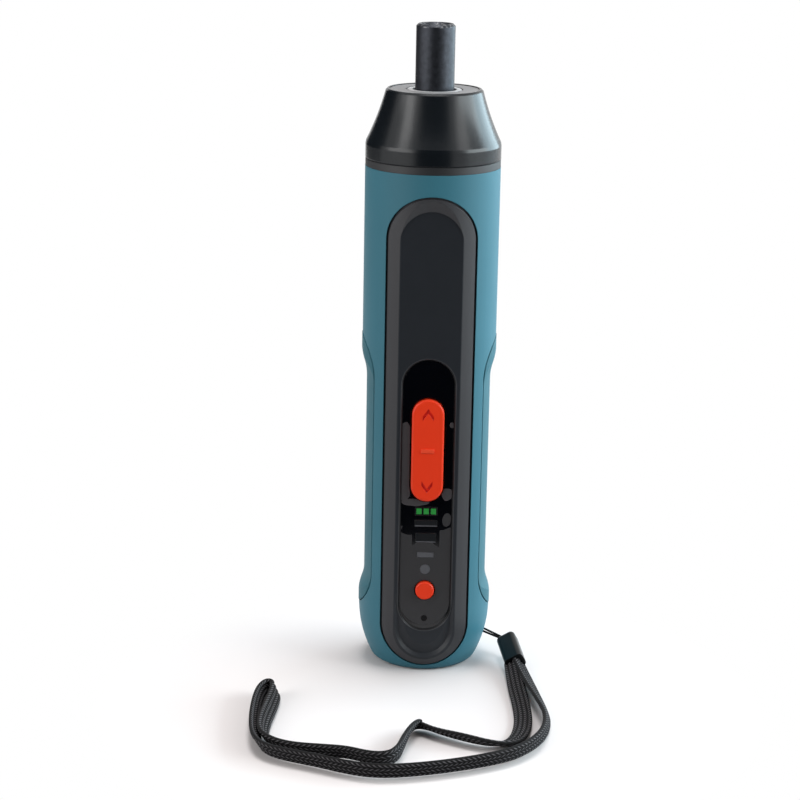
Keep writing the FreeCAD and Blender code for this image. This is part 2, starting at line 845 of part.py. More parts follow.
def board_components():
    """Chips behind the board and the indicator lamps on its front."""
    chip = chip_side / 2
    lamp = lamp_side / 2
    lamp_z = bar_z + [status_z, charge_z]
    chip_back = -(board_back_y - chip_thick)
    lamp_front = -(board_front_y + lamp_thick)
    chips = [block(-chip, chip, -board_back_y, chip_back, z - chip, z + chip) for z in chip_z]
    lamps = [block(-lamp, lamp, lamp_front, -board_front_y, z - lamp, z + lamp) for z in lamp_z]
    return chips + lamps


# Power

def battery_cell():
    can = cyl(battery_r, battery_z0, battery_z1, 0, battery_y)
    ends = [e for e in can.Edges if is_ring(e, battery_r)]
    return can.makeChamfer(battery_rim, ends)


def battery_tabs():
    half = battery_tab_side / 2

    def tab(z0):
        return block(-half, half, battery_y - half, battery_y + half, z0, z0 + battery_tab)
    return [tab(battery_z0 - battery_tab), tab(battery_z1)]


def charge_board():
    return cyl(charge_board_r, port_z1, charge_board_z1)


def charge_port():
    """An upright oval receptacle with its tongue, open at the tail face."""
    outer = port_form(0, port_z0, port_z1)
    inner = port_form(-port_wall, port_z0 - OVER, port_z1 - port_floor)
    half_w = port_tongue_w / 2
    half_t = port_tongue_thick / 2
    tongue = block(-half_w, half_w, -half_t, half_t, port_z0 + port_tongue_sunk, port_z1)
    return outer.cut(inner).fuse(tongue).removeSplitter()


def port_form(grow, z0, z1):
    half = port_h / 2 + grow
    mid = port_w / 2 - port_h / 2
    ends = [cyl(half, z0, z1, side * mid) for side in (-1, 1)]
    return fuse_all(ends + [block(-mid, mid, -half, half, z0, z1)])


# Motor

def motor_can():
    can = revolve([
        (can_in_r, can_z0), (motor_r, can_z0), (motor_r, can_z1), (motor_boss_r, can_z1),
        (motor_boss_r, boss_top_z), (shaft_r + run_gap, boss_top_z),
        (shaft_r + run_gap, can_z1 - motor_front), (can_in_r, can_z1 - motor_front),
    ])
    for x, y in motor_screw_places():
        can = can.cut(cyl(motor_screw_r, can_z1 - motor_front - OVER, can_z1 + OVER, x, y))
    return can


def motor_screw_places():
    return [(0, motor_screw_at), (0, -motor_screw_at)]


def motor_magnet():
    arc = tube(can_in_r, can_in_r - magnet_thick, core_z0 - magnet_over, core_z1 + magnet_over)
    wedge = Part.makeCylinder(motor_r, can_z1 - can_z0, V(0, 0, can_z0), V(0, 0, 1), magnet_deg)
    wedge.rotate(V(0, 0, 0), V(0, 0, 1), -magnet_deg / 2)
    return arc.common(wedge)


def motor_end_cap():
    cap = cyl(motor_r, motor_z0, can_z0).fuse(cyl(can_in_r, can_z0, can_z0 + end_cap_lip))
    for side in (-1, 1):
        post_in = commutator_r + run_gap + brush_post_gap
        x0, x1 = sorted((side * post_in, side * (can_in_r - brush_post_gap)))
        cap = cap.fuse(block(x0, x1, -brush_side, brush_side, can_z0, brush_z0))
    cap = cap.cut(cyl(shaft_r + run_gap, shaft_z0, brush_z0 + OVER))
    for tab in motor_terminals():
        cap = cap.cut(tab)
    return cap.removeSplitter()


def motor_brushes():
    half = brush_side / 2
    brushes = []
    for side in (-1, 1):
        x0, x1 = sorted((side * (commutator_r + run_gap), side * (commutator_r + run_gap + brush_len)))
        brushes.append(block(x0, x1, -half, half, brush_z0, brush_z0 + brush_side))
    return brushes


def motor_terminals():
    half_w = terminal_w / 2
    half_t = terminal_thick / 2
    z0 = motor_z0 - terminal_tail
    z1 = motor_z0 + terminal_sink
    middles = (-terminal_x, terminal_x)
    return [block(x - half_t, x + half_t, -half_w, half_w, z0, z1) for x in middles]


def motor_shaft():
    return cyl(shaft_r, shaft_z0 + run_gap, stage1_z0 + gear_len)


def on_shaft(shape):
    return shape.cut(cyl(shaft_r, motor_z0, cover_z0))


def armature_core():
    core = cyl(core_r, core_z0, core_z1)
    for slot in ring_of(winding_count, slot_form, 180.0 / winding_count):
        core = core.cut(slot)
    return on_shaft(core)


def slot_form():
    pocket = cyl(slot_pocket_r, core_z0 - OVER, core_z1 + OVER, slot_pocket_at)
    mouth = block(slot_pocket_at, motor_r, -slot_mouth / 2, slot_mouth / 2, core_z0 - OVER, core_z1 + OVER)
    return pocket.fuse(mouth)


def armature_windings():
    def coil():
        return cyl(slot_pocket_r - coil_gap, core_z0 - coil_over, core_z1 + coil_over, slot_pocket_at)
    return ring_of(winding_count, coil, 180.0 / winding_count)


def commutator():
    return on_shaft(cyl(commutator_r, commutator_z0, commutator_z0 + commutator_len))


# Gearbox

def tooth_half_angle(teeth, r, thinner):
    """Half the angle that an involute tooth fills at a radius."""
    pressure = math.radians(pressure_deg)
    pitch_r = gear_module * teeth / 2
    base_r = pitch_r * math.cos(pressure)
    at = math.acos(min(1.0, base_r / r))
    return math.pi / (2 * teeth) - thinner / (2 * pitch_r) + involute(pressure) - involute(at)


def involute(angle):
    return math.tan(angle) - angle


def toothed_prism(teeth, tip_r, root_r, thinner, phase_deg, z0, z1):
    corners = []
    for i in range(teeth):
        middle = math.radians(phase_deg) + 2 * math.pi * i / teeth
        root = tooth_half_angle(teeth, root_r, thinner)
        tip = tooth_half_angle(teeth, tip_r, thinner)
        for r, turn in ((root_r, -root), (tip_r, -tip), (tip_r, tip), (root_r, root)):
            corners.append(V(r * math.cos(middle + turn), r * math.sin(middle + turn), z0))
    face = Part.Face(Part.makePolygon(corners + corners[:1]))
    return face.extrude(V(0, 0, z1 - z0))


def spur_gear(teeth, phase_deg, z0, z1):
    pitch_r = gear_module * teeth / 2
    tip_r = pitch_r + gear_addendum * gear_module
    root_r = pitch_r - gear_dedendum * gear_module
    return toothed_prism(teeth, tip_r, root_r, gear_backlash, phase_deg, z0, z1)


def ring_teeth_cut(z0, z1):
    return toothed_prism(ring_teeth, ring_root_r, ring_tip_r, -gear_backlash, 180.0 / ring_teeth, z0, z1)


def gearbox_housing():
    whole = cyl(gearbox_r, can_z1, cover_z0).cut(ring_teeth_cut(gear_floor_z, cover_z0 + OVER))
    whole = whole.cut(cyl(motor_boss_r, can_z1 - OVER, cover_z0))
    for screw in motor_screws():
        whole = whole.cut(screw)
    return whole


def motor_screws():
    head_z = gear_floor_z - motor_screw_head_h
    screws = []
    for x, y in motor_screw_places():
        screw = revolve([
            (0, can_z1 - motor_front), (motor_screw_r, can_z1 - motor_front), (motor_screw_r, head_z),
            (motor_screw_head_r, gear_floor_z), (0, gear_floor_z),
        ])
        screw.translate(V(x, y, 0))
        screws.append(screw)
    return screws


def planet(index, z0):
    """One planet gear on its pin, with a tooth space facing the sun and another facing the ring."""
    gear = spur_gear(planet_teeth, 180.0 + 180.0 / planet_teeth, z0, z0 + gear_len)
    gear = gear.cut(cyl(planet_pin_r + run_gap, z0 - OVER, z0 + gear_len + OVER))
    gear.translate(V(planet_at, 0, 0))
    gear.rotate(V(0, 0, 0), V(0, 0, 1), index * 360.0 / planet_count)
    return gear


def planet_pins(z0, carrier_z0):
    return ring_of(planet_count, lambda: cyl(planet_pin_r, z0 - gear_side_gap / 2, carrier_z0, planet_at))


def motor_pinion():
    return on_shaft(spur_gear(sun_teeth, 0.0, stage1_z0, stage1_z0 + gear_len))


def stage1_carrier():
    disc = cyl(carrier_r, carrier1_z0, carrier1_z1)
    return disc.fuse(spur_gear(sun_teeth, 0.0, carrier1_z1, stage2_z0 + gear_len))


def spindle():
    """Output carrier and drive shaft in one piece, grooved for its clip."""
    groove_r = spindle_r - clip_groove
    clip_top = clip_z0 + clip_thick
    return revolve([
        (0, carrier2_z0), (carrier_r, carrier2_z0), (carrier_r, carrier2_z1), (spindle_r, carrier2_z1),
        (spindle_r, clip_z0), (groove_r, clip_z0), (groove_r, clip_top), (spindle_r, clip_top),
        (spindle_r, spindle_top_z), (0, spindle_top_z),
    ])


def thrust_washer():
    z0 = carrier2_z1 + run_gap
    return tube(washer_r, spindle_r + run_gap, z0, z0 + washer_thick)


def gearbox_cover():
    return revolve([
        (bush_r, cover_z0), (gearbox_r, cover_z0), (gearbox_r, cover_z1), (cover_neck_r, cover_z1),
        (cover_neck_r, neck_z1), (bush_r, neck_z1),
    ])


def rear_bushing():
    flange_r = bush_r + bush_flange
    return revolve([
        (spindle_r + run_gap, cover_z0), (bush_r, cover_z0), (bush_r, neck_z1), (flange_r, neck_z1),
        (flange_r, neck_z1 + bush_flange), (spindle_r + run_gap, neck_z1 + bush_flange),
    ])


def spindle_clip():
    ring = tube(clip_r, spindle_r - clip_groove, clip_z0, clip_z0 + clip_thick)
    mouth = spindle_r - clip_groove
    return ring.cut(block(0, clip_r + OVER, -mouth, mouth, clip_z0 - OVER, clip_z0 + clip_thick + OVER))


# Nose and bit holder

def collar_ring():
    """A ring whose upper edge is bevelled, so that a fine groove shows below the nose."""
    return revolve([
        (cavity_r, body_top_z), (collar_r, body_top_z), (collar_r, collar_z1 - collar_edge),
        (collar_r - collar_edge, collar_z1), (cavity_r, collar_z1),
    ])


def nose_cone():
    """Band, concave cone and bevelled rim outside; spigot, web and lens seat inside."""
    bore = cavity_r - spigot_gap
    spigot_z = body_top_z - nose_spigot
    seat_r = lens_r + lens_gap
    chamber_r = lens_r - lens_seat
    taper = V(-nose_taper, 0, nose_cone_h) * (nose_shoulder / nose_cone_h)
    shoulder = V(body_r, 0, nose_band_z) + taper
    rim = V(nose_rim_r, 0, nose_top_z - nose_rim_edge)
    slope = V(rim.z - shoulder.z, 0, shoulder.x - rim.x).normalize()
    inside = [
        (nose_rim_r - nose_rim_edge, nose_top_z), (seat_r, nose_top_z), (seat_r, lens_z0),
        (chamber_r, lens_z0), (chamber_r, led_board_z0), (bush_r, led_board_z0), (bush_r, web_z0),
        (nose_in_r, web_z0), (nose_in_r, spigot_z), (bore, spigot_z), (bore, collar_z1), (body_r, collar_z1),
        (body_r, nose_band_z - nose_shoulder),
    ]
    points = [rim] + [V(r, 0, z) for r, z in inside] + [shoulder]
    curves = [Part.LineSegment(a, b) for a, b in zip(points, points[1:])]
    curves.append(Part.Arc(shoulder, (shoulder + rim) * 0.5 - slope * nose_sag, rim))
    return revolve_curves(curves)


def work_light_lens():
    half = lens_groove_w / 2
    groove = tube(lens_groove_r + half, lens_groove_r - half, lens_top_z - lens_groove_depth, nose_top_z)
    return tube(lens_r, lens_bore_r, lens_z0, lens_top_z).cut(groove)


def led_board():
    return tube(lens_r - lens_seat - led_board_gap, lens_bore_r + led_board_gap, led_board_z0,
                led_board_z0 + led_board_thick)


def work_leds():
    z0 = led_board_z0 + led_board_thick
    at = (lens_r + lens_bore_r) / 2 - led_board_gap
    half = led_side / 2

    def lamp():
        return block(at - half, at + half, -half, half, z0, z0 + led_h)
    return ring_of(led_count, lamp, led_start_deg)


def front_bushing():
    flange_r = bush_r + bush_flange
    return revolve([
        (spindle_r + run_gap, web_z0 - bush_flange), (flange_r, web_z0 - bush_flange), (flange_r, web_z0),
        (bush_r, web_z0), (bush_r, led_board_z0), (spindle_r + run_gap, led_board_z0),
    ])


def hexagon(flats, z0, z1):
    corner = flats / math.sqrt(3)
    points = [V(corner * math.cos(math.radians(60 * i)), corner * math.sin(math.radians(60 * i)), z0)
              for i in range(6)]
    return Part.Face(Part.makePolygon(points + points[:1])).extrude(V(0, 0, z1 - z0))


def bit_holder():
    corner = hex_flats / math.sqrt(3)
    mouth = corner + mouth_chamfer
    sleeve = revolve([
        (spindle_r, holder_z0), (holder_r, holder_z0), (holder_r, holder_z1 - holder_chamfer),
        (holder_r - holder_chamfer, holder_z1), (0, holder_z1), (0, spindle_top_z),
        (spindle_r, spindle_top_z),
    ])
    sleeve = sleeve.cut(hexagon(hex_flats, spindle_top_z, holder_z1 + OVER))
    mouth_h = 2 * mouth_chamfer
    countersink = Part.makeCone(corner - mouth_chamfer, mouth, mouth_h, V(0, 0, holder_z1 - mouth_h))
    groove_z = holder_z1 - keeper_below_top
    return sleeve.cut(countersink).cut(cyl(keeper_r, groove_z, groove_z + keeper_h))


def bit_magnet():
    return cyl(magnet_r, spindle_top_z, magnet_z1)


def bit_retaining_ring():
    z0 = holder_z1 - keeper_below_top
    ring = tube(keeper_r, keeper_in_r, z0, z0 + keeper_h)
    half = keeper_slot / 2
    return ring.cut(block(0, holder_r, -half, half, z0 - OVER, z0 + keeper_h + OVER))


# Fasteners

def housing_screw(x, z):
    head = rod_y(screw_head_r, x, z, screw_seat_y, screw_seat_y + screw_head_h)
    shank = rod_y(screw_r, x, z, screw_seat_y - screw_len, screw_seat_y)
    top_y = screw_seat_y + screw_head_h
    socket = hexagon(screw_recess_flats, -screw_recess_depth, OVER)
    socket.rotate(V(0, 0, 0), V(1, 0, 0), -90)
    socket.translate(V(x, top_y, z))
    return head.fuse(shank).cut(socket)


# Lanyard

def lanyard_bar():
    return cyl(lanyard_bar_r, bar_at.z - lanyard_bar_half, bar_at.z + lanyard_bar_half, bar_at.x, bar_at.y)


def lanyard_loop():
    """A thin cord round the bar, both ends side by side in the ferrule."""
    turn_r = lanyard_bar_r + lanyard_cord_r + lanyard_gap
    end_r = lanyard_cord_r + lanyard_gap
    end = ferrule_top + ferrule_axis * ferrule_bite
    along = end - bar_at
    close_in = math.asin((turn_r - end_r) / along.Length)
    along.normalize()
    across = V(0, 0, 1).cross(along).normalize()
    out = [along * math.sin(close_in) + across * (side * math.cos(close_in)) for side in (-1, 1)]
    near = [bar_at + way * turn_r for way in out]
    far = [end + way * end_r for way in out]
    path = Part.Wire([
        Part.LineSegment(far[0], near[0]).toShape(),
        Part.Arc(near[0], bar_at - along * turn_r, near[1]).toShape(),
        Part.LineSegment(near[1], far[1]).toShape(),
    ])
    up = (near[0] - far[0]).normalize().cross(out[0])
    turns = [2 * math.pi * i / lanyard_cord_sides for i in range(lanyard_cord_sides + 1)]
    rim = [far[0] + (out[0] * math.cos(turn) + up * math.sin(turn)) * lanyard_cord_r for turn in turns]
    return path.makePipeShell([Part.makePolygon(rim)], True, False)


def strap_ferrule():
    """A rounded clamp lying from the lanyard loop down to the floor."""
    length = (ferrule_mouth - ferrule_top).Length
    clamp = block(-ferrule_w / 2, ferrule_w / 2, -ferrule_thick / 2, ferrule_thick / 2, 0, length)
    sides = [e for e in clamp.Edges if e.BoundBox.ZLength > length / 2]
    clamp = clamp.makeFillet(ferrule_round, sides)
    top = [e for e in clamp.Edges if e.BoundBox.ZMax < 1e-6]
    clamp = clamp.makeFillet(ferrule_top_round, top)
    across = ferrule_axis.cross(V(0, 0, 1)).normalize()
    turn = FreeCAD.Rotation(across, ferrule_axis.cross(across), ferrule_axis, "ZXY")
    clamp.rotate(V(0, 0, 0), V(0, 0, 1), ferrule_roll_deg)
    clamp.Placement = FreeCAD.Placement(ferrule_top, turn).multiply(clamp.Placement)
    return clamp


def cord_path(points):
    """Straight runs joined by tangent arcs as large as the runs allow."""
    edges = []
    radii = []
    last = points[0]
    for before, here, after in zip(points, points[1:], points[2:]):
        back = before - here
        on = after - here
        turn = math.pi - back.getAngle(on)
        reach = bend_share * min(back.Length, on.Length)
        radius = reach / math.tan(turn / 2)
        back.normalize()
        on.normalize()
        start = here + back * reach
        stop = here + on * reach
        middle = (back + on).normalize()
        crown = here + middle * (radius / math.cos(turn / 2) - radius)
        edges.append(Part.LineSegment(last, start).toShape())
        edges.append(Part.Arc(start, crown, stop).toShape())
        radii.append(round(radius, 1))
        last = stop
    edges.append(Part.LineSegment(last, points[-1]).toShape())
    return Part.Wire(edges), radii


def wrist_strap():
    """Flat webbing on its edge, one loop with both ends in the ferrule."""
    middle_z = strap_lift + strap_w / 2
    points = [V(x, y, middle_z) for x, y in strap_route]
    path, radii = cord_path(points)
    run = (points[1] - points[0]).normalize()
    across = V(0, 0, 1).cross(run) * (strap_thick / 2)
    up = V(0, 0, strap_w / 2)
    start = points[0]
    corners = [start + across + up, start - across + up, start - across - up, start + across - up]
    section = Part.makePolygon(corners + corners[:1])
    strap = path.makePipeShell([section], True, False)
    print("strap radii", radii)
    print("strap length", round(path.Length, 1), "volume", round(strap.Volume, 1),
          "section times length", round(strap_w * strap_thick * path.Length, 1))
    return strap


def pieces():
    front, back = housing_shells()
    *levels, speed, status, charge = light_guides()
    nodes = {
        "front_shell": front,
        "back_shell": back,
        "left_grip": grip(-1),
        "right_grip": grip(1),
        "front_panel": front_panel(),
        "display_window": display_window(),
        "speed_light": speed,
        "level_bars": levels,
        "status_lenses": [status, charge],
        "rocker_switch": rocker_switch(),
        "rocker_pin": rocker_pin(),
        "mode_button": mode_button(),
        "control_board": control_board(),
        "tact_switches": tact_switches(),
        "board_components": board_components(),
        "battery_cell": battery_cell(),
        "battery_tabs": battery_tabs(),
        "charge_board": charge_board(),
        "charge_port": charge_port(),
        "motor_can": motor_can(),
        "motor_magnets": ring_of(magnet_count, motor_magnet),
        "motor_end_cap": motor_end_cap(),
        "motor_brushes": motor_brushes(),
        "motor_terminals": motor_terminals(),
        "motor_screws": motor_screws(),
        "motor_shaft": motor_shaft(),
        "armature_core": armature_core(),
        "armature_windings": armature_windings(),
        "commutator": commutator(),
        "motor_pinion": motor_pinion(),
        "gearbox_housing": gearbox_housing(),
        "stage1_carrier": stage1_carrier(),
        "stage1_pins": planet_pins(stage1_z0, carrier1_z0),
        "stage2_pins": planet_pins(stage2_z0, carrier2_z0),
        "spindle": spindle(),
        "thrust_washer": thrust_washer(),
        "gearbox_cover": gearbox_cover(),
        "rear_bushing": rear_bushing(),
        "spindle_clip": spindle_clip(),
        "collar_ring": collar_ring(),
        "nose_cone": nose_cone(),
        "work_light_lens": work_light_lens(),
        "led_board": led_board(),
        "work_leds": work_leds(),
        "front_bushing": front_bushing(),
        "bit_holder": bit_holder(),
        "bit_magnet": bit_magnet(),
        "bit_retaining_ring": bit_retaining_ring(),
        "housing_screws": [housing_screw(x, z) for x, z in screw_places()],
        "lanyard_bar": lanyard_bar(),
        "lanyard_loop": lanyard_loop(),
        "strap_ferrule": strap_ferrule(),
        "wrist_strap": wrist_strap(),
    }
    for index in range(planet_count):
        nodes["stage1_planet_%d" % (index + 1)] = planet(index, stage1_z0)
        nodes["stage2_planet_%d" % (index + 1)] = planet(index, stage2_z0)
    return nodes


os.makedirs("parts", exist_ok=True)
for name, shape in pieces().items():
    solids = shape if isinstance(shape, list) else [shape]
    solids = [solid for one in solids for solid in one.Solids]
    whole = solids[0] if len(solids) == 1 else Part.makeCompound(solids)
    whole.exportStep("parts/%s.step" % name)
    print(name, len(solids), whole.isValid(), round(whole.Volume, 1))
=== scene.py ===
import json
import math

import bpy
from mathutils import Matrix, Vector

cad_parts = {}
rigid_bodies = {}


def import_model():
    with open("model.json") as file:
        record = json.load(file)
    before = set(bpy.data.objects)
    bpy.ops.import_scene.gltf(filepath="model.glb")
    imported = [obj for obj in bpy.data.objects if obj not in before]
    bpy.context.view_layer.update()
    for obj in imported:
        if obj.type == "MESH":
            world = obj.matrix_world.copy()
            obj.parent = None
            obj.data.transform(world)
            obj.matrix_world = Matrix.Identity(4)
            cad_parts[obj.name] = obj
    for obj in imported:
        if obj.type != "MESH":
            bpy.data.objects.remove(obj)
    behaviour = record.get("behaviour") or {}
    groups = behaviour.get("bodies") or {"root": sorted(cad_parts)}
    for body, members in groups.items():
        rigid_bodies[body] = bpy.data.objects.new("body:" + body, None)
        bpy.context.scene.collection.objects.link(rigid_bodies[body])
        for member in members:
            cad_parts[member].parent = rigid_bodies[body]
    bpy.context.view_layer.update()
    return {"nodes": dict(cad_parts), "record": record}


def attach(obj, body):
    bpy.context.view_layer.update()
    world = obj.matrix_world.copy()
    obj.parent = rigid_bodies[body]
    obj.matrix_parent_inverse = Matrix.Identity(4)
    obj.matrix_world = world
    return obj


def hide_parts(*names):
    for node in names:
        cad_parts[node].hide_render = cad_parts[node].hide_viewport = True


# Cordless stick screwdriver with its wrist strap, standing on a white table.
# Metres, in the frame of the solids: +Z up the spindle axis, the front panel faces -Y.

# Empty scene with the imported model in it
for leftover in list(bpy.data.objects):
    bpy.data.objects.remove(leftover)
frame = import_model()
nodes = frame["nodes"]

# Camera
CAMERA_AT = (-0.0076, -0.6044, 0.2325)
CAMERA_DOWN_DEG = 14.79
CAMERA_ROLL_DEG = 1.06
CAMERA_ANGLE_DEG = 19.756

# Strap: flat braid in one loop that starts and ends in the ferrule
STRAP_WIDTH = 0.0048
STRAP_THICK = 0.0013
STRAP_EXIT = (0.0253, -0.0146, 0.0030)
STRAP_LIFT = 0.0001
STRAP_STEPS = 16
STRAP_EDGE_POWER = 8
STRAP_ROUGHNESS = 0.8
STRAP_SPECULAR = 0.1
STRAP_SHEEN = 0.02

# Ribs along the braid: a groove's thickness is a share of a rib's
STRAP_RIBS = 4
RIB_STEPS = 6
RIB_GROOVE = 0.45

# Threads on the ribs: both swell from nothing to full between two values of their waves
THREAD_PITCH = 0.0013
THREAD_SLANT = 1.7
THREAD_DEPTH = 0.0003
THREAD_SWELL = (-0.3, 0.9)
RIB_SWELL = (-0.9, 0.3)

# Route of the strap: x and y on the table, and the braid's lean in degrees towards the left of its run
STRAP_ROUTE = (
    (0.0262, -0.0138, -50), (0.0276, -0.0210, -50), (0.0292, -0.0320, -45), (0.0310, -0.0435, -35),
    (0.0319, -0.0520, -20), (0.0308, -0.0610, 0), (0.0274, -0.0690, 15), (0.0214, -0.0762, 22),
    (0.0110, -0.0816, 25), (-0.0010, -0.0858, 25), (-0.0110, -0.0876, 22), (-0.0190, -0.0854, 22),
    (-0.0270, -0.0812, 25), (-0.0350, -0.0780, 28), (-0.0400, -0.0744, 30), (-0.0424, -0.0680, 34),
    (-0.0432, -0.0580, 36), (-0.0434, -0.0480, 32), (-0.0430, -0.0390, 25), (-0.0418, -0.0342, 8),
    (-0.0396, -0.0342, -15), (-0.0390, -0.0384, -34), (-0.0398, -0.0468, -40), (-0.0408, -0.0560, -40),
    (-0.0410, -0.0630, -36), (-0.0398, -0.0686, -30), (-0.0366, -0.0726, -25), (-0.0320, -0.0748, -25),
    (-0.0250, -0.0754, -28), (-0.0190, -0.0760, -30), (-0.0134, -0.0792, -28), (-0.0094, -0.0798, -20),
    (-0.0066, -0.0766, -4), (-0.0052, -0.0690, -8), (-0.0036, -0.0618, -22), (-0.0020, -0.0572, -40),
    (0.0000, -0.0572, -56), (0.0040, -0.0608, -58), (0.0108, -0.0652, -48), (0.0170, -0.0678, -58),
    (0.0220, -0.0664, -75), (0.0248, -0.0596, -85), (0.0260, -0.0500, -90), (0.0258, -0.0390, -85),
    (0.0250, -0.0280, -75), (0.0244, -0.0136, -60),
)

# Front panel: outlines of its dish and window
DISH_HALF_W = 0.0083
DISH_Z = (0.0041, 0.1277)
DISH_LINE = 0.0002
WINDOW_HALF_W = 0.0068
WINDOW_Z = (0.0129, 0.0880)
# Width of the window's bevel, painted black as shade, and of the painted highlight line round it
WINDOW_RIM = 0.0004
WINDOW_LINE = 0.0002
WINDOW_ROUGHNESS = 0.1

# Painted reflection on the window, grey and with duller gloss: below an edge with a notch of half width
# and depth, and in patches
REFLECTION_TOP = 0.0412
REFLECTION_LOW = 0.0141
REFLECTION_NOTCH = (0.0037, 0.0046)
REFLECTION_WANDER = (230.0, 1.0)
REFLECTION_DRIFT = 0.007
REFLECTION_ROUGHNESS = 0.5
REFLECTION_HIGH_Z = 0.047

# Patches of painted reflection: middle x and z, half width and half height
REFLECTION_PATCHES = (
    (-0.0064, 0.0606, 0.0023, 0.0108), (-0.0031, 0.0488, 0.0035, 0.0009), (0.0055, 0.0511, 0.0016, 0.0019),
    (0.0056, 0.0441, 0.0012, 0.0019), (0.0063, 0.0704, 0.0007, 0.0009),
)

# Level bars that are dark above a pale edge: middle and half height
DARK_BARS = ((0.0388, 0.00125), (0.0429, 0.00085))
DARK_BAR_RIM = 0.0003

# Charge light, which is dark
DARK_LIGHT_BELOW = 0.020

# Green bar in segments
GREEN_Z = 0.0463
GREEN_HALF_W = 0.0029
GREEN_HALF_H = 0.0008
GREEN_SEGMENTS = 3
GREEN_HALF_SHARE = 0.36

# Rocker: its middle, and the half width and half height of the bar across it
ROCKER_Z = 0.0634
ROCKER_BAR_HALF = (0.00175, 0.00055)

# Arrow heads let into the rocker, as far from its middle each way
MARK_FACE_Y = -0.01668
MARK_THICK = 0.00015
MARK_AT = 0.0106
MARK_HALF_W = 0.00136
MARK_H = 0.0019
MARK_STROKE = 0.00102
# How far past the arrow heads the red reaches as painted shade
MARK_SHADE_EDGE = 0.00014

# Clear middle of the lens
LENS_CLEAR_R = 0.0073
LENS_CLEAR_EDGE = 0.0001

# Worn top of the bit holder: a pattern's scale and detail, and the values where wear starts and is full
WEAR_ABOVE = 0.1739
WEAR_PATTERN = (900.0, 4.0)
WEAR_STARTS = (0.5, 0.65)

# Colours as they look in plain light
TEAL = (60, 116, 132)
GRIP_TEAL = (53, 105, 118)
PANEL = (32, 35, 40)
# Painted highlight on the panel's border round its dish
PANEL_BORDER_HIGHLIGHT = (58, 58, 61)
WINDOW = (3, 4, 8)
# Painted highlight line round the window opening
WINDOW_EDGE_HIGHLIGHT = (60, 61, 64)
# Grey of the painted reflection on the window, paler above a height
PAINTED_REFLECTION = (38, 37, 39)
PAINTED_REFLECTION_HIGH = (58, 55, 57)
ORANGE = (255, 64, 30)
# Painted highlight on the rocker's raised bar
ROCKER_BAR_HIGHLIGHT = (255, 82, 50)
# Red of the arrow heads, also painted round them on the rocker as shade
MARK_RED_AND_SHADE = (235, 36, 14)
GREEN = (50, 150, 66)
LIGHT_GREY = (92, 92, 96)
DARK_BAR = (20, 22, 25)
DARK_LIGHT = (2, 2, 3)
NOSE = (18, 22, 26)
COLLAR = (26, 27, 30)
LENS = (142, 141, 142)
LENS_CLEAR = (200, 200, 201)
OXIDE = (44, 46, 51)
WORN = (112, 112, 114)
STEEL = (185, 187, 189)
DULL_STEEL = (118, 118, 120)
GEARBOX = (205, 205, 200)
BRONZE = (168, 118, 68)
BOARD = (28, 92, 52)
COMPONENT = (26, 26, 28)
LED = (235, 232, 205)
CELL_WRAP = (52, 92, 160)
FERRULE = (8, 11, 13)
# Braid: painted shade in the grooves and painted highlight on the raised threads
STRAP_SHADED_GROOVE = (29.4, 28.7, 29.4)
STRAP_LIT_THREAD = (105, 102.5, 105)
TABLE = (238, 232, 231)
TABLE_BOUNCE = (150, 150, 152)
CARD = (26, 26, 28)
WHITE_LIGHT = (1.0, 1.0, 1.0)
RIM_LIGHT = (0.66, 0.89, 1.0)
KEY_LIGHT = (0.86, 0.97, 1.0)

# Edges: the radius that a sharp edge seems to have
EDGE_TIGHT = 0.00015
EDGE_SMALL = 0.0002
EDGE_WIDE = 0.0003
EDGE_SAMPLES = 4

# Textures: scale, strength and depth of their grain
FINE = (5200.0, 0.12, 0.00004)
SPARK = (4200.0, 0.35, 0.00005)
PITTED = (1600.0, 0.35, 0.00008)

# Patterns: their detail and middle value, and how much finer gloss drifts than colour
GRAIN_DETAIL = 3.0
BLOTCH_DETAIL = 4.0
PATTERN_MIDDLE = 0.5
GLOSS_FINER = 3

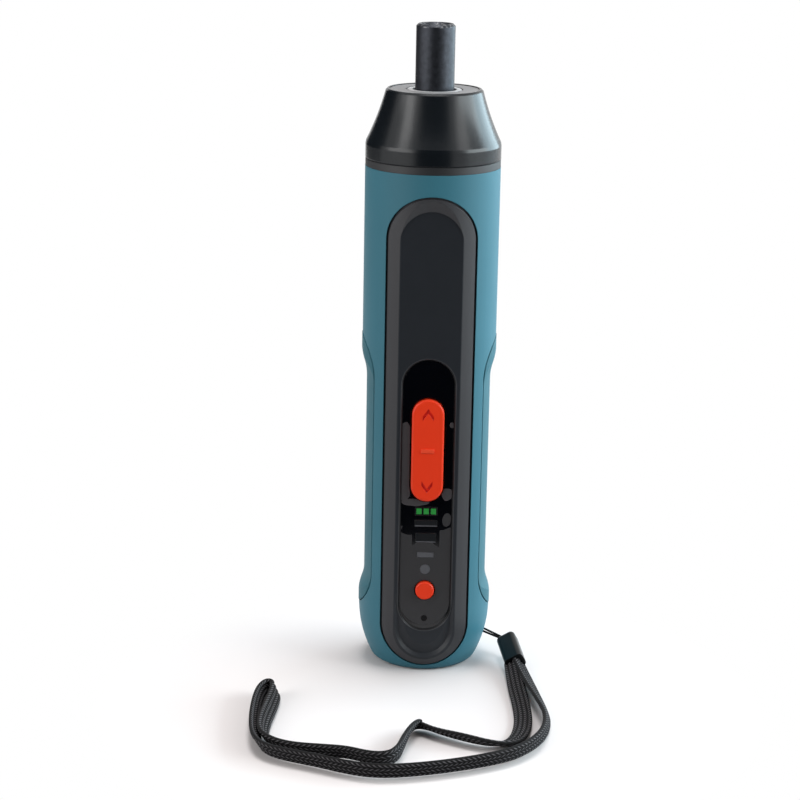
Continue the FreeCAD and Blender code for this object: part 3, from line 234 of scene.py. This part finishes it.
# Finishes: drift is a pattern's scale and its changes of colour and gloss
FINISHES = {
    "shell_teal": dict(
        colour=TEAL, roughness=0.5, specular=0.25,
        drift=(60.0, 0.03, 0.03), edge=EDGE_WIDE, texture=FINE),
    "grip_teal": dict(
        colour=GRIP_TEAL, roughness=0.58, specular=0.25,
        drift=(60.0, 0.03, 0.03), edge=EDGE_WIDE, texture=FINE),
    "panel_black": dict(
        colour=PANEL, roughness=0.45, specular=0.3,
        drift=(80.0, 0.06, 0.03), edge=EDGE_SMALL, texture=SPARK),
    "switch_orange": dict(
        colour=ORANGE, roughness=0.38, specular=0.3,
        drift=(150.0, 0.02, 0.03), edge=EDGE_SMALL, texture=FINE),
    "mark_red": dict(colour=MARK_RED_AND_SHADE, roughness=0.5, drift=(300.0, 0.05, 0.03), texture=FINE),
    "light_green": dict(colour=WINDOW, roughness=0.2, drift=(400.0, 0.12, 0.02)),
    "light_grey": dict(colour=LIGHT_GREY, roughness=0.35, drift=(400.0, 0.06, 0.03), specular=0.2),
    "nose_black": dict(
        colour=NOSE, roughness=0.24, specular=0.35,
        drift=(120.0, 0.06, 0.03), edge=EDGE_WIDE, texture=FINE),
    "collar_grey": dict(
        colour=COLLAR, roughness=0.5, drift=(120.0, 0.06, 0.03), edge=EDGE_SMALL, texture=FINE),
    "lens_frosted": dict(
        colour=LENS, roughness=0.55, specular=0.1,
        drift=(150.0, 0.03, 0.03), edge=EDGE_SMALL, texture=FINE),
    "holder_steel": dict(
        colour=OXIDE, roughness=0.42, metallic=0.75,
        drift=(700.0, 0.45, 0.14), edge=EDGE_WIDE, texture=PITTED),
    "steel": dict(colour=STEEL, roughness=0.3, drift=(300.0, 0.04, 0.05), metallic=1.0),
    "magnet_grey": dict(colour=DULL_STEEL, roughness=0.4, drift=(300.0, 0.05, 0.05), metallic=0.8),
    "gear_steel": dict(
        colour=STEEL, roughness=0.35, drift=(300.0, 0.06, 0.05), texture=SPARK, metallic=1.0),
    "gearbox_plastic": dict(colour=GEARBOX, roughness=0.5, drift=(100.0, 0.03, 0.03), texture=FINE),
    "bronze": dict(colour=BRONZE, roughness=0.4, drift=(300.0, 0.08, 0.05), texture=SPARK, metallic=1.0),
    "board_green": dict(colour=BOARD, roughness=0.4, drift=(200.0, 0.06, 0.03)),
    "component_black": dict(colour=COMPONENT, roughness=0.4, drift=(200.0, 0.06, 0.03), texture=FINE),
    "led_white": dict(colour=LED, roughness=0.3, drift=(200.0, 0.03, 0.03)),
    "cell_wrap": dict(colour=CELL_WRAP, roughness=0.25, drift=(80.0, 0.04, 0.03)),
    "ferrule_black": dict(
        colour=FERRULE, roughness=0.3, specular=0.2,
        drift=(200.0, 0.06, 0.03), edge=EDGE_WIDE, texture=FINE),
}

# Table: its shadows fade out between two distances from their middle
FLOOR_FRONT_Y = -0.125
FLOOR_REACH = 4.0
SHADOW_MIDDLE = (0, -0.035, 0)
SHADOW_REACH = (0.056, 0.09)
STAGE_ROUGHNESS = 0.9

# Black cards: x and y of their two ends, and their lowest and highest points
CARDS = {
    "card_front": ((-0.45, -0.75), (0.45, -0.75)),
    "card_left": ((-0.85, 0.12), (-0.35, 0.8)),
}
CARD_Z = (-0.35, 0.85)

# Lights: place, width and height, power and colour
LIGHTS = {
    "key": ((0.62, -0.12, 0.24), (0.5, 0.3), 3.4, KEY_LIGHT),
    "rim": ((0.78, 0.46, 0.3), (0.7, 0.5), 7.5, RIM_LIGHT),
    "fill": ((-0.85, -0.5, 0.28), (0.8, 0.4), 3.2, WHITE_LIGHT),
    "high_left": ((-0.8, -0.5, 0.62), (0.35, 0.4), 1.9, WHITE_LIGHT),
    "high_right": ((0.75, -0.45, 0.62), (0.35, 0.4), 1.25, WHITE_LIGHT),
    "top": ((0.0, 0.14, 0.95), (0.35, 0.35), 4.3, WHITE_LIGHT),
}
LIGHT_AIM = Vector((0, 0, 0.08))
WORLD_LIGHT = 0.45
WORLD_WHITE = 1.0


def linear(colour):
    """A display colour from 0 to 255 as a linear colour with alpha."""
    parts = []
    for value in colour:
        share = value / 255
        parts.append(share / 12.92 if share <= 0.04045 else ((share + 0.055) / 1.055) ** 2.4)
    return (*parts, 1.0)


def link(obj):
    bpy.context.scene.collection.objects.link(obj)
    return obj


def mesh_object(name, points, faces):
    mesh = bpy.data.meshes.new(name)
    mesh.from_pydata([tuple(point) for point in points], [], faces)
    mesh.update()
    return link(bpy.data.objects.new(name, mesh))


# Node building

def shader(name, colour, roughness, metallic=0.0, specular=0.5):
    material = bpy.data.materials.new(name)
    material.use_nodes = True
    surface = material.node_tree.nodes["Principled BSDF"]
    surface.inputs["Base Color"].default_value = linear(colour)
    surface.inputs["Roughness"].default_value = roughness
    surface.inputs["Metallic"].default_value = metallic
    surface.inputs["Specular IOR Level"].default_value = specular
    return material, surface


def maths(material, operation, first, second=0.0):
    """One sum on sockets or numbers."""
    tree = material.node_tree
    node = tree.nodes.new("ShaderNodeMath")
    node.operation = operation
    for place, value in zip(node.inputs, (first, second)):
        if isinstance(value, (int, float)):
            place.default_value = value
        else:
            tree.links.new(value, place)
    return node.outputs["Value"]


def length(tree, vector):
    node = tree.nodes.new("ShaderNodeVectorMath")
    node.operation = "LENGTH"
    tree.links.new(vector, node.inputs[0])
    return node.outputs["Value"]


def carry(tree, value, source=(0.0, 1.0), target=(0.0, 1.0), kind="LINEAR"):
    """Carries a socket's values from one range to another."""
    node = tree.nodes.new("ShaderNodeMapRange")
    node.interpolation_type = kind
    node.inputs["From Min"].default_value, node.inputs["From Max"].default_value = source
    node.inputs["To Min"].default_value, node.inputs["To Max"].default_value = target
    tree.links.new(value, node.inputs["Value"])
    return node.outputs["Result"]


def rise(material, value, start, end):
    """0 at a start value, 1 at an end value, and smooth between them."""
    return carry(material.node_tree, value, source=(start, end), kind="SMOOTHSTEP")


def within(material, value, middle, half):
    """1 where a value is near a middle one."""
    away = maths(material, "ABSOLUTE", maths(material, "SUBTRACT", value, middle))
    return maths(material, "LESS_THAN", away, half)


def hypotenuse(material, first, second):
    squares = [maths(material, "MULTIPLY", side, side) for side in (first, second)]
    return maths(material, "SQRT", maths(material, "ADD", *squares))


def own_place(material):
    """Socket for a point's place in its own object."""
    return material.node_tree.nodes.new("ShaderNodeTexCoord").outputs["Object"]


def axes(material, vector):
    """Sockets for the x, y and z of a vector."""
    tree = material.node_tree
    split = tree.nodes.new("ShaderNodeSeparateXYZ")
    tree.links.new(vector, split.inputs["Vector"])
    return split.outputs["X"], split.outputs["Y"], split.outputs["Z"]


def position(material):
    """Sockets for a point's own x, y and z."""
    return axes(material, own_place(material))


def noise(material, scale, detail=GRAIN_DETAIL):
    """A soft pattern fixed to the object."""
    tree = material.node_tree
    pattern = tree.nodes.new("ShaderNodeTexNoise")
    pattern.inputs["Scale"].default_value = scale
    pattern.inputs["Detail"].default_value = detail
    tree.links.new(own_place(material), pattern.inputs["Vector"])
    return pattern.outputs["Fac"]


def soft_edges(material, radius):
    """Rounds the look of sharp edges; the result feeds a normal socket."""
    bevel = material.node_tree.nodes.new("ShaderNodeBevel")
    bevel.samples = EDGE_SAMPLES
    bevel.inputs["Radius"].default_value = radius
    return bevel.outputs["Normal"]


def bumps(material, height, strength, depth, normal=None):
    """Raises the surface by a pattern; the result feeds a normal socket."""
    tree = material.node_tree
    bump = tree.nodes.new("ShaderNodeBump")
    bump.inputs["Strength"].default_value = strength
    bump.inputs["Distance"].default_value = depth
    tree.links.new(height, bump.inputs["Height"])
    if normal is not None:
        tree.links.new(normal, bump.inputs["Normal"])
    return bump.outputs["Normal"]


def colour_mix(tree, factor):
    """A mix of two colours by a factor, without its colours yet."""
    mix = tree.nodes.new("ShaderNodeMix")
    mix.data_type = "RGBA"
    tree.links.new(factor, mix.inputs["Factor"])
    return mix


def tint(material, factor, colour):
    """Lays a second colour over a material where a factor says."""
    tree = material.node_tree
    base = tree.nodes["Principled BSDF"].inputs["Base Color"]
    tone = colour_mix(tree, factor)
    if base.is_linked:
        tree.links.new(base.links[0].from_socket, tone.inputs["A"])
    else:
        tone.inputs["A"].default_value = base.default_value
    tone.inputs["B"].default_value = linear(colour)
    tree.links.new(tone.outputs["Result"], base)


def blotch(material, surface, colour, scale, change):
    """Lets the colour drift a little up and down, as moulded or oxidised surfaces do."""
    tree = material.node_tree
    tone = colour_mix(tree, noise(material, scale, BLOTCH_DETAIL))
    tone.inputs["A"].default_value = linear([value * (1 - change) for value in colour])
    tone.inputs["B"].default_value = linear([min(255, value * (1 + change)) for value in colour])
    tree.links.new(tone.outputs["Result"], surface.inputs["Base Color"])


def uneven(material, surface, roughness, scale, change):
    """Lets the gloss drift a little."""
    tree = material.node_tree
    gloss = carry(tree, noise(material, scale), target=(roughness - change, roughness + change))
    tree.links.new(gloss, surface.inputs["Roughness"])


# Materials

def moulded(name, colour, roughness, drift, edge=EDGE_TIGHT, texture=None, metallic=0.0, specular=0.5):
    """A finish with soft edges, drifting colour and gloss, and a grain where it has a texture."""
    material, surface = shader(name, colour, roughness, metallic, specular)
    normal = soft_edges(material, edge)
    if texture:
        grain_scale, strength, depth = texture
        normal = bumps(material, noise(material, grain_scale), strength, depth, normal)
    scale, colour_change, gloss_change = drift
    blotch(material, surface, colour, scale, colour_change)
    uneven(material, surface, roughness, scale * GLOSS_FINER, gloss_change)
    material.node_tree.links.new(normal, surface.inputs["Normal"])
    return material


def weave_share(material):
    """1 on the threads, which slant the other way on each next rib, and 0 between them."""
    place = material.node_tree.nodes.new("ShaderNodeUVMap")
    place.uv_map = "weave"
    along, across, _ = axes(material, place.outputs["UV"])
    rib = STRAP_WIDTH / STRAP_RIBS
    slant = maths(material, "MULTIPLY", maths(material, "PINGPONG", across, rib), THREAD_SLANT)
    turn = maths(material, "MULTIPLY", maths(material, "ADD", along, slant), math.tau / THREAD_PITCH)
    thread = rise(material, maths(material, "SINE", turn), *THREAD_SWELL)
    groove = maths(material, "COSINE", maths(material, "MULTIPLY", across, math.tau / rib))
    crown = rise(material, maths(material, "MULTIPLY", groove, -1.0), *RIB_SWELL)
    return maths(material, "MULTIPLY", thread, crown)


def strap_webbing():
    """Ribbed braid, painted dark as shade in its grooves and pale as highlight on its raised threads."""
    material, surface = shader("strap_webbing", STRAP_SHADED_GROOVE, STRAP_ROUGHNESS, specular=STRAP_SPECULAR)
    surface.inputs["Sheen Weight"].default_value = STRAP_SHEEN
    share = weave_share(material)
    normal = bumps(material, share, 1.0, THREAD_DEPTH)
    material.node_tree.links.new(normal, surface.inputs["Normal"])
    # Painted highlight on the raised threads
    tint(material, share, STRAP_LIT_THREAD)
    return material


def slot_distance(material, half_w, heights):
    """Distance from the middle line of an upright slot with round ends."""
    x, _, z = position(material)
    low, high = heights
    below = maths(material, "SUBTRACT", low + half_w, z)
    above = maths(material, "SUBTRACT", z, high - half_w)
    end = maths(material, "MAXIMUM", maths(material, "MAXIMUM", below, above), 0.0)
    return hypotenuse(material, x, end)


def reflection_share(material, x, z):
    """1 where the painted reflection lies on the window; its edges wander."""
    wander = maths(material, "SUBTRACT", noise(material, *REFLECTION_WANDER), PATTERN_MIDDLE)
    notch_half_w, notch_depth = REFLECTION_NOTCH
    notch = maths(material, "MULTIPLY", within(material, x, 0.0, notch_half_w), notch_depth)
    edge = maths(material, "SUBTRACT", maths(material, "MULTIPLY", wander, REFLECTION_DRIFT), notch)
    reflection = maths(material, "LESS_THAN", z, maths(material, "ADD", edge, REFLECTION_TOP))
    for middle_x, middle_z, half_w, half_h in REFLECTION_PATCHES:
        across = maths(material, "DIVIDE", maths(material, "SUBTRACT", x, middle_x), half_w)
        up = maths(material, "DIVIDE", maths(material, "SUBTRACT", z, middle_z), half_h)
        away = maths(material, "ADD", hypotenuse(material, across, up), wander)
        reflection = maths(material, "MAXIMUM", reflection, maths(material, "LESS_THAN", away, 1.0))
    end = slot_distance(material, WINDOW_HALF_W, (REFLECTION_LOW, WINDOW_Z[1]))
    return maths(material, "MULTIPLY", reflection, maths(material, "LESS_THAN", end, WINDOW_HALF_W))


def window_black():
    """Glossy black window with grey patches of painted reflection, duller there."""
    material, surface = shader("window_black", WINDOW, WINDOW_ROUGHNESS)
    tree = material.node_tree
    x, _, z = position(material)
    reflection = reflection_share(material, x, z)
    roughness = carry(tree, reflection, target=(WINDOW_ROUGHNESS, REFLECTION_ROUGHNESS))
    tree.links.new(roughness, surface.inputs["Roughness"])
    tree.links.new(soft_edges(material, EDGE_SMALL), surface.inputs["Normal"])
    # Grey painted reflection on the window, paler above a height
    tint(material, reflection, PAINTED_REFLECTION)
    high = maths(material, "GREATER_THAN", z, REFLECTION_HIGH_Z)
    tint(material, maths(material, "MULTIPLY", reflection, high), PAINTED_REFLECTION_HIGH)
    return material


def panel_lines(material):
    """A painted highlight on the border round the panel's dish, a painted highlight line round its window,
    and painted shade, black, on the bevel inside that.
    """
    dish = slot_distance(material, DISH_HALF_W, DISH_Z)
    # Painted highlight on the border round the dish
    tint(material, rise(material, dish, DISH_HALF_W, DISH_HALF_W + DISH_LINE), PANEL_BORDER_HIGHLIGHT)
    window = slot_distance(material, WINDOW_HALF_W, WINDOW_Z)
    rim_at = WINDOW_HALF_W + WINDOW_RIM
    # Painted highlight line along the window opening's edge
    tint(material, within(material, window, rim_at, WINDOW_LINE), WINDOW_EDGE_HIGHLIGHT)
    # Painted shade: the bevel inside that line is made black
    tint(material, maths(material, "LESS_THAN", window, rim_at), WINDOW)


def arrow_and_shade_share(material, x, z):
    """1 on the rocker's arrow heads, and a little past their edges as painted shade of their recesses."""
    away = maths(material, "ABSOLUTE", maths(material, "SUBTRACT", z, ROCKER_Z))
    aside = maths(material, "MULTIPLY", maths(material, "ABSOLUTE", x), MARK_H / MARK_HALF_W)
    middle = MARK_AT + (MARK_H - MARK_STROKE) / 2
    arm = within(material, maths(material, "ADD", away, aside), middle, MARK_STROKE / 2 + MARK_SHADE_EDGE)
    return maths(material, "MULTIPLY", arm, within(material, x, 0.0, MARK_HALF_W + MARK_SHADE_EDGE))


def rocker_signs(material):
    """A painted highlight on the raised bar across the rocker, and its red arrow heads with painted shade
    a little past their edges.
    """
    x, _, z = position(material)
    half_w, half_h = ROCKER_BAR_HALF
    across = within(material, x, 0.0, half_w)
    bar = maths(material, "MULTIPLY", across, within(material, z, ROCKER_Z, half_h))
    # Painted highlight on the raised bar
    tint(material, bar, ROCKER_BAR_HIGHLIGHT)
    # Red arrow heads, with painted shade a little past their edges
    tint(material, arrow_and_shade_share(material, x, z), MARK_RED_AND_SHADE)


def green_segments(material):
    """Green segments along the dark bar."""
    x, _, z = position(material)
    from_left = maths(material, "ADD", x, GREEN_HALF_W)
    along = maths(material, "MULTIPLY", from_left, GREEN_SEGMENTS / 2 / GREEN_HALF_W)
    segment = within(material, maths(material, "FRACT", along), 0.5, GREEN_HALF_SHARE)
    lit = maths(material, "MULTIPLY", segment, within(material, z, GREEN_Z, GREEN_HALF_H))
    tint(material, lit, GREEN)


def dark_lights(material):
    """The upper level bars, dark above a pale lower edge, and the dark charge light."""
    _, _, z = position(material)
    for middle_z, half_h in DARK_BARS:
        tint(material, within(material, z, middle_z + DARK_BAR_RIM, half_h), DARK_BAR)
    tint(material, maths(material, "LESS_THAN", z, DARK_LIGHT_BELOW), DARK_LIGHT)


def clear_middle(material):
    """The frosted lens is clearer round the bit holder."""
    x, y, _ = position(material)
    radius = hypotenuse(material, x, y)
    clear = rise(material, radius, LENS_CLEAR_R + LENS_CLEAR_EDGE, LENS_CLEAR_R - LENS_CLEAR_EDGE)
    tint(material, clear, LENS_CLEAR)


def worn_top(material):
    """The bit holder's oxide is worn bright in places round the top edge."""
    _, _, z = position(material)
    patches = rise(material, noise(material, *WEAR_PATTERN), *WEAR_STARTS)
    worn = maths(material, "MULTIPLY", patches, maths(material, "GREATER_THAN", z, WEAR_ABOVE))
    tint(material, worn, WORN)


MATERIALS = {name: moulded(name, **finish) for name, finish in FINISHES.items()}
MATERIALS["window_black"] = window_black()
MATERIALS["strap_webbing"] = strap_webbing()
panel_lines(MATERIALS["panel_black"])
rocker_signs(MATERIALS["switch_orange"])
green_segments(MATERIALS["light_green"])
dark_lights(MATERIALS["light_grey"])
clear_middle(MATERIALS["lens_frosted"])
worn_top(MATERIALS["holder_steel"])


def dress_nodes():
    for subpart in frame["record"]["subparts"]:
        for material_slot in nodes[subpart["node"]].material_slots:
            material_slot.material = MATERIALS[subpart["material_slot"]]


# Strap

def smooth_line(controls):
    """Points along the smooth curve that some points control."""
    curve = bpy.data.curves.new("line", "CURVE")
    curve.dimensions = "3D"
    curve.resolution_u = STRAP_STEPS
    spline = curve.splines.new("NURBS")
    spline.points.add(len(controls) - 1)
    for point, control in zip(spline.points, controls):
        point.co = (*control, 1.0)
    spline.order_u = 3
    spline.use_endpoint_u = True
    line = link(bpy.data.objects.new("line", curve))
    mesh = bpy.data.meshes.new_from_object(line)
    points = [vertex.co.copy() for vertex in mesh.vertices]
    bpy.data.meshes.remove(mesh)
    bpy.data.objects.remove(line)
    return points


def strap_height(lean):
    """Height of the braid's middle where its lower edge touches the table."""
    return STRAP_LIFT + (STRAP_WIDTH * math.cos(lean) + STRAP_THICK * abs(math.sin(lean))) / 2


def strap_lines():
    """The braid's middle line and its lean along it."""
    middle = []
    leans = []
    for x, y, degrees in STRAP_ROUTE:
        lean = math.radians(degrees)
        middle.append([x, y, strap_height(lean)])
        leans.append((lean, 0, 0))
    for end in (middle[0], middle[-1]):
        end[2] = STRAP_EXIT[2]
    return smooth_line(middle), [point.x for point in smooth_line(leans)]


def strap_section():
    """Across and thickness of the braid's outline: ribs along both faces, thin edges."""
    count = STRAP_RIBS * RIB_STEPS
    face = []
    for i in range(count + 1):
        share = i / count
        crown = math.sqrt(1 - (2 * share - 1) ** STRAP_EDGE_POWER)
        rib = RIB_GROOVE + (1 - RIB_GROOVE) * abs(math.sin(math.pi * STRAP_RIBS * share))
        face.append(((share - 0.5) * STRAP_WIDTH, STRAP_THICK / 2 * crown * rib))
    back = [(across, -thick) for across, thick in reversed(face[1:-1])]
    return face + back


def strap_rings(line, leans, section):
    """One outline of the braid at each point of its line."""
    rings = []
    for i, here in enumerate(line):
        run = line[min(i + 1, len(line) - 1)] - line[max(i - 1, 0)]
        left = Vector((0, 0, 1)).cross(run).normalized()
        up = run.cross(left).normalized()
        wide = up * math.cos(leans[i]) + left * math.sin(leans[i])
        out = up * math.sin(leans[i]) - left * math.cos(leans[i])
        rings.append([here + wide * across + out * thick for across, thick in section])
    return rings


def tube_faces(rings, count):
    """Outward sides and ends of a tube of rings, each with so many points."""
    faces = []
    for i in range(rings - 1):
        for j in range(count):
            k = (j + 1) % count
            faces.append((i * count + j, (i + 1) * count + j, (i + 1) * count + k, i * count + k))
    faces.append(tuple(range(count)))
    faces.append(tuple(reversed(range((rings - 1) * count, rings * count))))
    return faces


def map_weave(mesh, line, section):
    """Length along the braid and place across it, for its weave."""
    along = [0.0]
    for a, b in zip(line, line[1:]):
        along.append(along[-1] + (b - a).length)
    layer = mesh.uv_layers.new(name="weave")
    for loop in mesh.loops:
        ring, place = divmod(loop.vertex_index, len(section))
        layer.data[loop.index].uv = (along[ring], section[place][0])


def add_strap():
    line, leans = strap_lines()
    section = strap_section()
    points = [point for ring in strap_rings(line, leans, section) for point in ring]
    strap = mesh_object("strap_braid", points, tube_faces(len(line), len(section)))
    map_weave(strap.data, line, section)
    for polygon in strap.data.polygons:
        polygon.use_smooth = True
    strap.data.materials.append(MATERIALS["strap_webbing"])
    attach(strap, "housing")
    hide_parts("wrist_strap")


# Arrow heads on the rocker

def add_rocker_mark(name, way):
    """An arrow head that points up where way is 1, and down where it is -1."""
    tip = MARK_H / 2
    foot = -MARK_H / 2
    outline = [
        (0, tip), (-MARK_HALF_W, foot), (-MARK_HALF_W, foot - MARK_STROKE), (0, tip - MARK_STROKE),
        (MARK_HALF_W, foot - MARK_STROKE), (MARK_HALF_W, foot),
    ]
    points = []
    for y in (MARK_FACE_Y, MARK_FACE_Y + MARK_THICK):
        points += [(way * x, y, ROCKER_Z + way * (MARK_AT + z)) for x, z in outline]
    count = len(outline)
    front = [(0, 1, 2, 3), (0, 3, 4, 5)]
    back = [tuple(i + count for i in reversed(face)) for face in front]
    sides = [(i, i + count, (i + 1) % count + count, (i + 1) % count) for i in range(count)]
    mark = mesh_object(name, points, front + back + sides)
    mark.data.materials.append(MATERIALS["mark_red"])
    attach(mark, "rocker")


# Floor, light and camera

def seen_ray(tree):
    """1 where the camera, gloss or clear pieces see a surface, 0 where it lights the rest."""
    path = tree.nodes.new("ShaderNodeLightPath")
    rays = tree.nodes.new("ShaderNodeCombineXYZ")
    for name, axis in (("Is Camera Ray", "X"), ("Is Glossy Ray", "Y"), ("Is Transmission Ray", "Z")):
        tree.links.new(path.outputs[name], rays.inputs[axis])
    return length(tree, rays.outputs["Vector"])


def floor_material():
    """White table with the soft shadows near the object, and plain white further out."""
    material, surface = shader("table_white", TABLE_BOUNCE, STAGE_ROUGHNESS, specular=0.0)
    tree = material.node_tree
    seen = seen_ray(tree)
    tint(material, seen, TABLE)
    fade = rise(material, length(tree, own_place(material)), *SHADOW_REACH)
    glow = tree.nodes.new("ShaderNodeEmission")
    mix = tree.nodes.new("ShaderNodeMixShader")
    tree.links.new(maths(material, "MULTIPLY", fade, seen), mix.inputs["Fac"])
    tree.links.new(surface.outputs["BSDF"], mix.inputs[1])
    tree.links.new(glow.outputs["Emission"], mix.inputs[2])
    tree.links.new(mix.outputs["Shader"], tree.nodes["Material Output"].inputs["Surface"])
    return material


def add_floor():
    front = FLOOR_FRONT_Y - SHADOW_MIDDLE[1]
    corners = [
        (-FLOOR_REACH, front, 0), (FLOOR_REACH, front, 0),
        (FLOOR_REACH, FLOOR_REACH, 0), (-FLOOR_REACH, FLOOR_REACH, 0),
    ]
    floor = mesh_object("table", corners, [(0, 1, 2, 3)])
    floor.location = SHADOW_MIDDLE
    floor.data.materials.append(floor_material())


def add_card(name, ends):
    """An upright black card, as photographers set for dark gloss."""
    (x0, y0), (x1, y1) = ends
    low, high = CARD_Z
    corners = [(x0, y0, low), (x1, y1, low), (x1, y1, high), (x0, y0, high)]
    card = mesh_object(name, corners, [(0, 1, 2, 3)])
    material, _ = shader("card_black", CARD, STAGE_ROUGHNESS, specular=0.0)
    card.data.materials.append(material)
    card.visible_camera = False


def add_area(name, at, size, power, colour):
    light = bpy.data.lights.new(name, "AREA")
    light.shape = "RECTANGLE"
    light.size, light.size_y = size
    light.energy = power
    light.color = colour
    lamp = link(bpy.data.objects.new(name, light))
    lamp.location = at
    lamp.rotation_euler = (LIGHT_AIM - Vector(at)).to_track_quat("-Z", "Y").to_euler()


def add_world():
    world = bpy.data.worlds.new("studio")
    bpy.context.scene.world = world
    world.use_nodes = True
    tree = world.node_tree
    background = tree.nodes["Background"]
    background.inputs["Color"].default_value = (1, 1, 1, 1)
    strength = carry(tree, seen_ray(tree), target=(WORLD_LIGHT, WORLD_WHITE))
    tree.links.new(strength, background.inputs["Strength"])


def add_camera():
    data = bpy.data.cameras.new("camera")
    data.angle = math.radians(CAMERA_ANGLE_DEG)
    camera = link(bpy.data.objects.new("camera", data))
    tilt = Matrix.Rotation(math.radians(90 - CAMERA_DOWN_DEG), 4, "X")
    roll = Matrix.Rotation(math.radians(CAMERA_ROLL_DEG), 4, "Z")
    camera.matrix_world = Matrix.Translation(CAMERA_AT) @ tilt @ roll
    bpy.context.scene.camera = camera


add_camera()
add_strap()
add_rocker_mark("rocker_mark_top", 1)
add_rocker_mark("rocker_mark_low", -1)
dress_nodes()
add_floor()
for card_name, card_ends in CARDS.items():
    add_card(card_name, card_ends)
for light_name, light_row in LIGHTS.items():
    add_area(light_name, *light_row)
add_world()
bpy.context.scene.view_settings.view_transform = "Standard"
